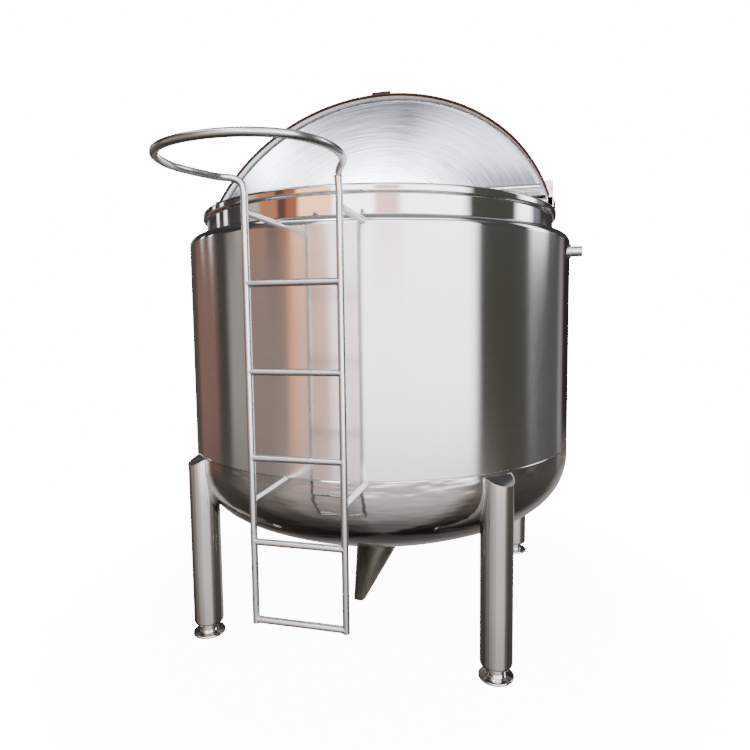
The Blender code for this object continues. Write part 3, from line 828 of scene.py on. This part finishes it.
inner_tray_r = tray_r - tray_sheet
under_top = tray_top - tray_sheet
rail_sheet = 0.003
rail_end_gap = 0.012
rail_edge = 0.0008
rail_reach = half_width(inner_tray_r, lid_cut[1]) - rail_end_gap
rail_low = (-rail_reach, lid_rear - rail_sheet, seal_end)
rail = flat_bar("lid_rail_strip", rail_low, (rail_reach, lid_rear, under_top), rail_edge)
placed(rail, swing)
dress(rail, mirror, "polished_steel", "lid", "lid_hinge_rail")

bar_near = -0.062
bar_far = -0.088
bar_depth = 0.012
bar_edge = 0.0015
bar_reach = half_width(inner_tray_r, hinge_y + bar_far) - rail_end_gap
bar_low = (-bar_reach, bar_far, under_top - bar_depth)
bar = flat_bar("lid_stiffener_bar", bar_low, (bar_reach, bar_near, under_top), bar_edge)
placed(bar, swing)
dress(bar, mirror, "polished_steel", "lid", "lid_stiffener")

plastic, tree, shader = finish("black_moulded_plastic", metallic=0.0, specular=0.2)
leather = noise(tree, scale=900.0, detail=2.0)
surface(tree, shader, blended(tree, leather, (0.010, 0.010, 0.011), (0.030, 0.030, 0.033)),
        spread(tree, leather, 0.42, 0.58), raised(tree, leather, depth=0.0002))

handle_half = 0.051
handle_reach = 0.028
handle_thick = 0.018
handle_edge = 0.007
front = -hinge_y - tray_r
grip_low = (-handle_half, front - handle_reach, -handle_thick / 2.0)
grip_high = (handle_half, front, handle_thick / 2.0)
grip = flat_bar("lid_handle_grip", grip_low, grip_high, handle_edge, 5)
placed(grip, swing)
dress(grip, plastic, "black_plastic", "lid", "lid_handle")

tube_satin, tree, shader = finish("satin_tube_steel")
grain = noise(tree, scale=420.0, detail=2.0)
clouds = noise(tree, scale=7.0, detail=3.0)
surface(tree, shader, blended(tree, clouds, (0.57, 0.585, 0.595), (0.71, 0.725, 0.74)),
        spread(tree, grain, 0.20, 0.28), raised(tree, grain, depth=0.000015))
for name in ("lid_knuckle_left", "lid_knuckle_right", "hinge_lugs_left", "hinge_lugs_right"):
    frame["nodes"][name].data.materials[0] = tube_satin


# Rear cover
# The half of the mouth behind the hinge line is closed by a fixed pressed cover with a front rail.
# Two upright plates on it, one at each end, stop the lid and hold it open.
def copied(piece, name, matrix):
    """A copy of a finished shape, with a mesh of its own, turned and moved to its place."""
    only(piece)
    bpy.ops.object.duplicate()
    copy = named(name)
    placed(copy, matrix)
    return copy


def put_away(*patterns):
    """Removes the shapes that were only made to be copied."""
    for pattern in patterns:
        bpy.data.objects.remove(pattern)


cover_low, cover_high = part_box("rear_cover")
cover_bend = 0.016
cover_line = tray_line(cover_high.x, cover_high.z, cover_bend, cover_low.z)
cover = lathe("rear_cover_tray", cover_line)
cut_straight(cover, (0.0, cover_low.y, 0.0), (0.0, -1.0, 0.0))
dress(cover, mirror, "polished_steel", "tank", "rear_cover")
front_rail = flat_bar("cover_rail_strip", *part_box("cover_front_rail"), rail_edge)
dress(front_rail, mirror, "polished_steel", "tank", "cover_front_rail")

stop_low, stop_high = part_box("lid_stop_left")
stop_plate = flat_bar("stop_plate", stop_low, stop_high, bar_edge)
for side in ("left", "right"):
    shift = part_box("lid_stop_" + side)[0] - stop_low
    plate = copied(stop_plate, "stop_plate_" + side, Matrix.Translation(shift))
    dress(plate, mirror, "polished_steel", "tank", "lid_stop_" + side)
put_away(stop_plate)


# Legs
# Four 136 mm stainless tubes are coped to the bottom head and welded on. A plate closes each top
# at a slant, and the lower end is rounded off above its foot.
leg_polish, tree, shader = finish("lengthwise_polished_steel")
drawn = noise(tree, scale=30.0, detail=3.0, stretch=(1.0, 1.0, 0.05))
clouds = noise(tree, scale=5.0, detail=3.0, stretch=(1.0, 1.0, 0.6))
surface(tree, shader, blended(tree, clouds, (0.60, 0.58, 0.56), steel_light),
        spread(tree, drawn, 0.05, 0.14), raised(tree, drawn, depth=0.0002))

leg_r = 0.068
leg_ring_r = 0.9555
leg_bottom = 0.050
leg_round = 0.020
leg_rows = (0.30, 0.60, 0.95)
leg_steps = 72
cap_outer_z = 0.820
cap_rise = 0.030
cap_slope = cap_rise / (leg_ring_r + leg_r - jacket_r)
foot_r = 0.074
foot_edge = 0.004
foot_thick = 0.012
boss_r = 0.040
boss_fillet = 0.006
out = Vector((0.0, -1.0, 0.0))
middle = out * leg_ring_r


def cope(piece, tool):
    """Cuts a piece to the shape of what it is welded to."""
    only(piece)
    bpy.ops.object.modifier_add(type="BOOLEAN")
    cut = piece.modifiers[-1]
    cut.operation = "DIFFERENCE"
    cut.solver = "EXACT"
    cut.object = tool
    bpy.ops.object.modifier_apply(modifier=cut.name)
    bpy.ops.object.shade_smooth_by_angle(angle=crease)


def leg_side(turn):
    """A point on the leg's outside, and how far out from the tank's axis it is."""
    spot = middle + leg_r * (math.cos(turn) * out + math.sin(turn) * Vector((-out.y, out.x, 0.0)))
    return spot, math.hypot(spot.x, spot.y)


def head_height(radius):
    """Height of the jacket's outside at a radius, on the flange or on the knuckle below it."""
    across = max(0.0, min(radius - knuckle_centre[0], head_knuckle))
    return tangent_z - half_width(head_knuckle, across)


def joined(name, pieces):
    """Several finished meshes made one piece."""
    only(*pieces)
    bpy.ops.object.join()
    return named(name)


tool_top = 1.2
body_outline = [(0.0, tool_top), (jacket_r, tool_top), (jacket_r, seam_z)] + head_line(0.0)
body_tool = lathe("body_tool", body_outline, 360)

leg_line = [(0.0, leg_bottom)]
leg_line += arc((leg_r - leg_round, leg_bottom + leg_round), leg_round, -90.0, 0.0, 8)
leg_line += [(leg_r, height) for height in leg_rows] + [(0.0, leg_rows[-1])]
leg = lathe("leg_tube", leg_line, leg_steps)
placed(leg, Matrix.Translation(middle))
cap_middle = (0.0, -leg_ring_r - leg_r, cap_outer_z)
cut_straight(leg, cap_middle, (0.0, -cap_slope, 1.0))
cope(leg, body_tool)

cap_edge = []
for step in range(-120, 121):
    spot, from_axis = leg_side(math.pi * step / 120)
    if from_axis > jacket_r:
        height = cap_outer_z + cap_slope * (leg_ring_r + leg_r - spot.dot(out))
        cap_edge.append((spot.x, spot.y, height))
touching = []
for step in range(0, 241):
    spot, from_axis = leg_side(2.0 * math.pi * step / 240)
    if from_axis <= jacket_r:
        touching.append((spot.x, spot.y, head_height(from_axis)))
top_left = (*touching[0][:2], cap_edge[-1][2])
top_right = (*touching[-1][:2], cap_edge[0][2])
head_route = [top_left, *touching, top_right]
head_weld = bent_tube("leg_head_weld", head_route, radius=0.0032, ripple=0.10, sides=8)
cap_weld = bent_tube("leg_cap_weld", cap_edge, radius=0.0022, ripple=0.08, sides=8)
leg_welds = joined("leg_welds", [head_weld, cap_weld])

foot_line = [(0.0, 0.0), (foot_r - foot_edge, 0.0)]
foot_line += arc((foot_r - foot_edge, foot_edge), foot_edge, -90.0, 0.0, 4)[1:]
foot_line += arc((foot_r - foot_edge, foot_thick - foot_edge), foot_edge, 0.0, 90.0, 4)
fillet_centre = (boss_r + boss_fillet, foot_thick + boss_fillet)
foot_line += arc(fillet_centre, boss_fillet, -90.0, -180.0, 5)
foot_line += [(boss_r, leg_bottom), (0.0, leg_bottom)]
foot = lathe("foot_disc", foot_line, leg_steps)
placed(foot, Matrix.Translation(middle))

corner_turn = -2.2
corners = {"front_right": 45.0, "front_left": -45.0, "rear_right": 135.0, "rear_left": -135.0}
for corner, bearing in corners.items():
    round_tank = Matrix.Rotation(math.radians(bearing + corner_turn), 4, "Z")
    tube = copied(leg, "leg_tube_" + corner, round_tank)
    dress(tube, leg_polish, "polished_steel", "tank", "leg_" + corner)
    dress(copied(leg_welds, "leg_welds_" + corner, round_tank), weld, "polished_steel", "tank")
    disc = copied(foot, "foot_disc_" + corner, round_tank)
    dress(disc, mirror, "satin_steel", "tank", "foot_" + corner)
put_away(leg, leg_welds, foot)


# Ladder and hoop
# The ladder is 25 mm stainless tube, satin-finished. The left stile is bent over into a safety
# hoop that comes round to the right stile, and every joint is welded.
ladder_y = -1.2128
ladder_half = 0.1673
pipe_r = 0.0124
bead_sink = 0.0005
arm_sink = 0.002
stile_row = 1.2
hoop_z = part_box("ladder_left_stile_and_hoop")[1].z - pipe_r
stile_foot_z, stile_top = (corner.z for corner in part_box("ladder_right_stile"))
hoop_plan = [
    (-0.200, -0.014), (-0.234, -0.046), (-0.264, -0.102), (-0.290, -0.168), (-0.299, -0.240),
    (-0.279, -0.320), (-0.224, -0.388), (-0.140, -0.432), (-0.035, -0.4498), (0.070, -0.438),
    (0.160, -0.394), (0.216, -0.318), (0.236, -0.225), (0.224, -0.132), (0.190, -0.055),
    (0.166, 0.004),
]


def smooth_route(points, steps):
    """Points on a smooth curve that passes through every given point."""
    padded = [points[0], *points, points[-1]]
    route = []
    for index in range(1, len(padded) - 2):
        before, start, end, after = [Vector(padded[index + shift]) for shift in (-1, 0, 1, 2)]
        for step in range(steps):
            t = step / steps
            bend = (2.0 * before - 5.0 * start + 4.0 * end - after) * t**2
            twist = (3.0 * start - before - 3.0 * end + after) * t**3
            route.append(0.5 * (2.0 * start + (end - before) * t + bend + twist))
    route.append(Vector(points[-1]))
    return route


stile_bend = [
    (-ladder_half, ladder_y, hoop_z - 0.070),
    (-ladder_half, ladder_y, hoop_z - 0.045),
    (-ladder_half - 0.008, ladder_y - 0.002, hoop_z - 0.014),
]
hoop_route = smooth_route(stile_bend + [(x, ladder_y + y, hoop_z) for x, y in hoop_plan], 6)
left_route = [(-ladder_half, ladder_y, height) for height in (stile_foot_z, stile_row)]
left_stile = bent_tube("stile_and_hoop_tube", left_route + hoop_route, pipe_r)
dress(left_stile, tube_satin, "satin_steel", "tank", "ladder_left_stile_and_hoop")

right_route = [
    (ladder_half, ladder_y, stile_foot_z),
    (ladder_half, ladder_y, stile_row),
    (ladder_half, ladder_y, stile_top - 0.060),
    (ladder_half - 0.001, ladder_y, stile_top - 0.030),
    (ladder_half - 0.003, ladder_y, stile_top),
]
right_stile = bent_tube("right_stile_tube", right_route, pipe_r)
dress(right_stile, tube_satin, "satin_steel", "tank", "ladder_right_stile")


def bead(name, route, radius, ripple=0.12):
    """A weld bead along a closed route."""
    return bent_tube(name, route, radius, closed=True, ripple=ripple, sides=8)


def stile_bead(x, along):
    """The bead where a tube that runs along one way meets the side of a stile."""
    sideways = along.cross(Vector((0.0, 0.0, 1.0)))
    route = []
    for step in range(48):
        turn = 2.0 * math.pi * step / 48
        across = pipe_r * math.cos(turn)
        depth = half_width(pipe_r + bead_sink, across)
        rise = Vector((0.0, 0.0, pipe_r * math.sin(turn)))
        route.append(Vector((x, ladder_y, 0.0)) + along * depth + sideways * across + rise)
    return bead("stile_bead", route, radius=0.0016)


def ring_on_jacket(x, height, radius, count):
    """A circle pressed onto the jacket on the ladder's side."""
    route = []
    for step in range(count):
        turn = 2.0 * math.pi * step / count
        beside = x + radius * math.cos(turn)
        towards = -half_width(jacket_r, beside)
        route.append((beside, towards, height + radius * math.sin(turn)))
    return route


rung_line = [(x, ladder_y, 0.0) for x in (-ladder_half, 0.0, ladder_half)]
rung = bent_tube("rung_tube", rung_line, pipe_r)
rung_ends = [stile_bead(side * ladder_half, Vector((-side, 0.0, 0.0))) for side in (-1.0, 1.0)]
rung_beads = joined("rung_beads", rung_ends)
ladder_beads = []
for number in range(1, 6):
    rung_low, rung_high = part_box("ladder_rung_%d" % number)
    lift = Matrix.Translation((0.0, 0.0, (rung_low.z + rung_high.z) / 2.0))
    step_tube = copied(rung, "rung_tube_%d" % number, lift)
    dress(step_tube, tube_satin, "satin_steel", "tank", "ladder_rung_%d" % number)
    ladder_beads.append(copied(rung_beads, "rung_beads_%d" % number, lift))
hoop_end = [Vector(right_route[-1]) + Vector(spot) for spot in ring_points(pipe_r, 0.0, 48)]
ladder_beads.append(bead("hoop_bead", hoop_end, radius=0.0022))

arms = {}
for side, word in ((-1.0, "left"), (1.0, "right")):
    x = side * ladder_half
    contact = -half_width(jacket_r, x)
    arm_line = [(x, y, 0.0) for y in (ladder_y, (ladder_y + contact) / 2.0, contact + arm_sink)]
    seat_bead = bead("seat_bead", ring_on_jacket(x, 0.0, pipe_r, 48), radius=0.0028, ripple=0.15)
    arm_ends = [stile_bead(x, Vector((0.0, 1.0, 0.0))), seat_bead]
    arms[word] = (bent_tube("standoff_tube", arm_line, pipe_r), joined("arm_beads", arm_ends))
for level in ("lower", "upper"):
    for word, (arm, arm_beads) in arms.items():
        place = level + "_" + word
        arm_low, arm_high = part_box("ladder_standoff_" + place)
        lift = Matrix.Translation((0.0, 0.0, (arm_low.z + arm_high.z) / 2.0))
        arm_tube = copied(arm, "standoff_tube_" + place, lift)
        dress(arm_tube, tube_satin, "satin_steel", "tank", "ladder_standoff_" + place)
        ladder_beads.append(copied(arm_beads, "arm_beads_" + place, lift))
put_away(rung, rung_beads, *arms["left"], *arms["right"])
dress(joined("ladder_welds", ladder_beads), weld, "satin_steel", "tank")


# Side nozzle
# A short stainless pipe stub with a raised collar is set on the jacket below the shoulder. The
# collar is welded on all round, and the open end is faced off with a fine edge.
nozzle_low, nozzle_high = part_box("side_nozzle")
nozzle_z = (nozzle_low.z + nozzle_high.z) / 2.0
nozzle_r = 0.0255
nozzle_bore = 0.0225
nozzle_edge = 0.001
stub_sink = 0.006
collar_r = (nozzle_high.z - nozzle_low.z) / 2.0
collar_thick = 0.008
collar_edge = 0.003
collar_fillet = 0.002
reach_out = nozzle_high.x - jacket_r
stub_line = [(nozzle_bore, -stub_sink), (collar_r, -stub_sink)]
edge_centre = (collar_r - collar_edge, collar_thick - collar_edge)
stub_line += arc(edge_centre, collar_edge, 0.0, 90.0, 5)
fillet_centre = (nozzle_r + collar_fillet, collar_thick + collar_fillet)
stub_line += arc(fillet_centre, collar_fillet, -90.0, -180.0, 4)
stub_line += arc((nozzle_r - nozzle_edge, reach_out - nozzle_edge), nozzle_edge, 0.0, 90.0, 3)
stub_line += [(nozzle_bore, reach_out)]
nozzle = lathe("nozzle_stub", stub_line, 72)
laid_over = Matrix.Rotation(math.pi / 2.0, 4, "Y")
placed(nozzle, Matrix.Translation((jacket_r, 0.0, nozzle_z)) @ laid_over)
dress(nozzle, tube_satin, "satin_steel", "tank", "side_nozzle")
collar_route = [(-y, x, z) for x, y, z in ring_on_jacket(0.0, nozzle_z, collar_r, 72)]
dress(bead("nozzle_weld", collar_route, radius=0.003), weld, "satin_steel", "tank")


# Discharge duct
# A chute folded from 3 mm sheet hangs under the head and is coped to it. It tapers from a wide
# oval at its root to a small round mouth in front. Its steel is left dull and coloured a dark
# grey-green.
duct_satin, tree, shader = finish("satin_duct_steel")
blotches = noise(tree, scale=8.0, detail=4.0)
scuffs = noise(tree, scale=90.0, detail=3.0, stretch=(1.0, 1.0, 0.3))
surface(tree, shader, blended(tree, blotches, (0.26, 0.27, 0.235), (0.42, 0.43, 0.39)),
        spread(tree, scuffs, 0.28, 0.42), raised(tree, scuffs, depth=0.0001))

duct_sides = 64
duct_steps = 6
duct_sheet = 0.003
duct_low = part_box("discharge_duct")[0]
duct_root = Vector((0.010, -0.020, 0.372))
duct_half = (0.145, 0.115)
mouth_half = (0.0265, 0.0125)
mouth_lift = 0.012
duct_mouth = Vector((0.0, duct_low.y + mouth_half[1], duct_low.z + mouth_lift))
bpy.ops.object.select_all(action="DESELECT")
bpy.ops.mesh.primitive_circle_add(vertices=duct_sides, radius=1.0)
duct = named("duct_chute")
bpy.ops.object.mode_set(mode="EDIT")
for ring in range(duct_steps):
    bpy.ops.mesh.extrude_region_move()
bpy.ops.object.mode_set(mode="OBJECT")
for index, vertex in enumerate(duct.data.vertices):
    share = (index // duct_sides) / duct_steps
    around = 2.0 * math.pi * (index % duct_sides) / duct_sides
    across, over = math.cos(around), math.sin(around)
    oval = duct_root + Vector((across * duct_half[0], over * duct_half[1], 0.0))
    mouth = duct_mouth + Vector((across * mouth_half[0], over * mouth_half[1], 0.0))
    vertex.co = oval.lerp(mouth, share)
bpy.ops.object.mode_set(mode="EDIT")
bpy.ops.mesh.select_all(action="SELECT")
bpy.ops.mesh.normals_make_consistent(inside=False)
bpy.ops.object.mode_set(mode="OBJECT")
bpy.ops.object.modifier_add(type="SOLIDIFY")
wall_maker = duct.modifiers[-1]
wall_maker.thickness = duct_sheet
wall_maker.offset = -1.0
bpy.ops.object.modifier_apply(modifier=wall_maker.name)
cope(duct, body_tool)
dress(duct, duct_satin, "polished_steel", "tank", "discharge_duct")
put_away(body_tool)
